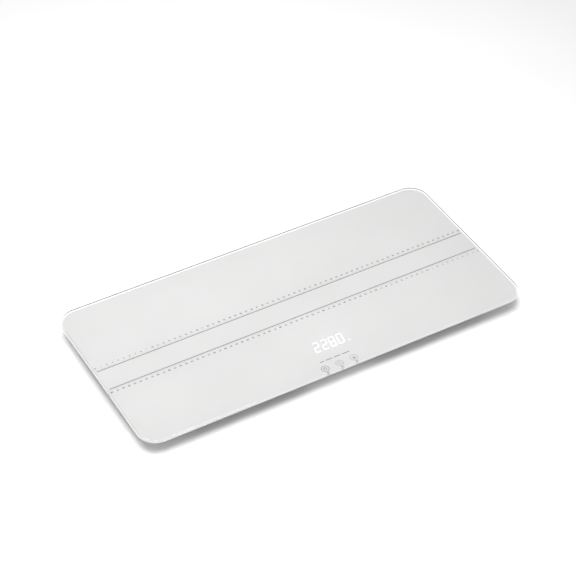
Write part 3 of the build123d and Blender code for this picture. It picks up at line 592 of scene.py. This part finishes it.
def greeked_words(centre_x, y, words, height):
    """Words too small to read: each one a row of small upright marks."""
    length = sum(words) * MARK_PITCH + WORD_SPACE * (len(words) - 1)
    x = centre_x - length / 2
    outlines = []
    for count in words:
        for letter in range(count):
            tall = height if letter % 3 == 0 else SHORT_MARK_SHARE * height
            outlines.append(rectangle((x, y - height / 2), (x + MARK_WIDTH, y - height / 2 + tall)))
            x += MARK_PITCH
        x += WORD_SPACE
    return outlines


for name, place, sign in (("power", -1, power_sign), ("unit", 0, swap_sign), ("hold", 1, hold_sign)):
    key_x = place * KEY_PITCH
    ink = print_dark if name == "power" else print_grey
    ink_piece(f"{name}_key_ring", ring((key_x, KEY_Y), KEY_RADIUS, KEY_RING_WIDTH), ink)
    ink_piece(f"{name}_key_sign", sign(key_x, KEY_Y), ink)
    label = greeked_words(key_x, KEY_LABEL_Y, KEY_LABEL_WORDS, KEY_LABEL_HEIGHT)
    ink_piece(f"{name}_key_label", label, print_dark)
small_print = greeked_words(SMALL_PRINT_X, SMALL_PRINT_Y, SMALL_PRINT_WORDS, SMALL_PRINT_HEIGHT)
ink_piece("small_print", small_print, print_dark)


# ------------------------------------------------------------------ display

SEGMENTS = {"0": "abcdef", "2": "abdeg", "8": "abcdefg"}


def segment_outline(letter, centre_x):
    """One of a digit's seven segments, a to g, leaning with the digits."""
    half_width = (DIGIT_WIDTH - SEGMENT_WIDTH) / 2
    half_height = (DIGIT_HEIGHT - SEGMENT_WIDTH) / 4
    half = SEGMENT_WIDTH / 2
    if letter in "agd":
        y = {"a": 2, "g": 0, "d": -2}[letter] * half_height
        inner = half_width - SEGMENT_GAP
        flat = inner - half
        corners = [
            (-inner, y), (-flat, y - half), (flat, y - half),
            (inner, y), (flat, y + half), (-flat, y + half),
        ]
    else:
        x = half_width if letter in "bc" else -half_width
        y = half_height if letter in "bf" else -half_height
        inner = half_height - SEGMENT_GAP
        flat = inner - half
        corners = [
            (x, y - inner), (x + half, y - flat), (x + half, y + flat),
            (x, y + inner), (x - half, y + flat), (x - half, y - flat),
        ]
    lean = math.tan(DIGIT_SLANT)
    return [(centre_x + x + y * lean, DISPLAY_CENTRE.y + y) for x, y in corners]


for place, digit in enumerate(DIGITS):
    centre_x = DISPLAY_CENTRE.x + (place - (len(DIGITS) - 1) / 2) * DIGIT_PITCH
    outlines = [segment_outline(letter, centre_x) for letter in SEGMENTS[digit]]
    ink_piece(f"lit_digit_{place + 1}", outlines, MATERIALS["lit_segment"])

unit_outlines = []
for x in (-UNIT_MARK_PITCH, 0.0, UNIT_MARK_PITCH):
    foot = UNIT_MARK + Vector((x, -UNIT_MARK_HEIGHT / 2))
    head = foot + Vector((UNIT_MARK_LEAN, UNIT_MARK_HEIGHT))
    unit_outlines.append(bar(foot, head, UNIT_MARK_STROKE))
unit_look = lit_segment("lit_unit_look", UNIT_MARK_GLOW)
ink_piece("lit_unit_mark", unit_outlines, unit_look)


# ------------------------------------------------------------------ floor, light and camera


def make_floor():
    """A plain pale floor, wide enough to fill the view."""
    bm = bmesh.new()
    bmesh.ops.create_grid(bm, x_segments=1, y_segments=1, size=FLOOR_HALF)
    mesh = bpy.data.meshes.new("floor")
    bm.to_mesh(mesh)
    bm.free()
    maker = Maker("floor_look")
    maker.shade(maker.noise(3), (0.86, 0.86, 0.86), (0.88, 0.88, 0.88))
    maker.set(Roughness=0.8, Specular_IOR_Level=0.2)
    mesh.materials.append(maker.material)
    floor = bpy.data.objects.new("floor", mesh)
    bpy.context.scene.collection.objects.link(floor)


def add_soft_lamp(name, place, size, power):
    """A large square lamp facing straight down. Rays bent by the glass don't see it, because the glass
    already lets its light through unbent."""
    lamp = bpy.data.lights.new(name, "AREA")
    lamp.shape = "SQUARE"
    lamp.size = size
    lamp.energy = power
    holder = bpy.data.objects.new(name, lamp)
    holder.location = place
    holder.visible_transmission = False
    bpy.context.scene.collection.objects.link(holder)


def make_world(strength):
    """An even white sky."""
    world = bpy.data.worlds.new("studio")
    world.use_nodes = True
    background = world.node_tree.nodes["Background"]
    background.inputs["Color"].default_value = (1.0, 1.0, 1.0, 1.0)
    background.inputs["Strength"].default_value = strength
    bpy.context.scene.world = world


def make_camera():
    """The camera looks down on the platform from the front left."""
    camera = bpy.data.cameras.new("camera")
    camera.lens = LENS_MM
    camera.sensor_width = SENSOR_MM
    camera.clip_end = CAMERA_REACH
    holder = bpy.data.objects.new("camera", camera)
    level = math.cos(VIEW_ELEVATION)
    back_x = math.sin(VIEW_AZIMUTH) * level
    back_y = -math.cos(VIEW_AZIMUTH) * level
    back = Vector((back_x, back_y, math.sin(VIEW_ELEVATION)))
    holder.location = VIEW_AIM + back * VIEW_DISTANCE
    holder.rotation_euler = (-back).to_track_quat("-Z", "Y").to_euler()
    bpy.context.scene.collection.objects.link(holder)
    bpy.context.scene.camera = holder


make_floor()
make_world(WORLD_STRENGTH)
add_soft_lamp("overhead_lamp", LAMP_PLACE, LAMP_SIZE, LAMP_WATTS)
make_camera()
bpy.context.scene.view_settings.view_transform = "Standard"
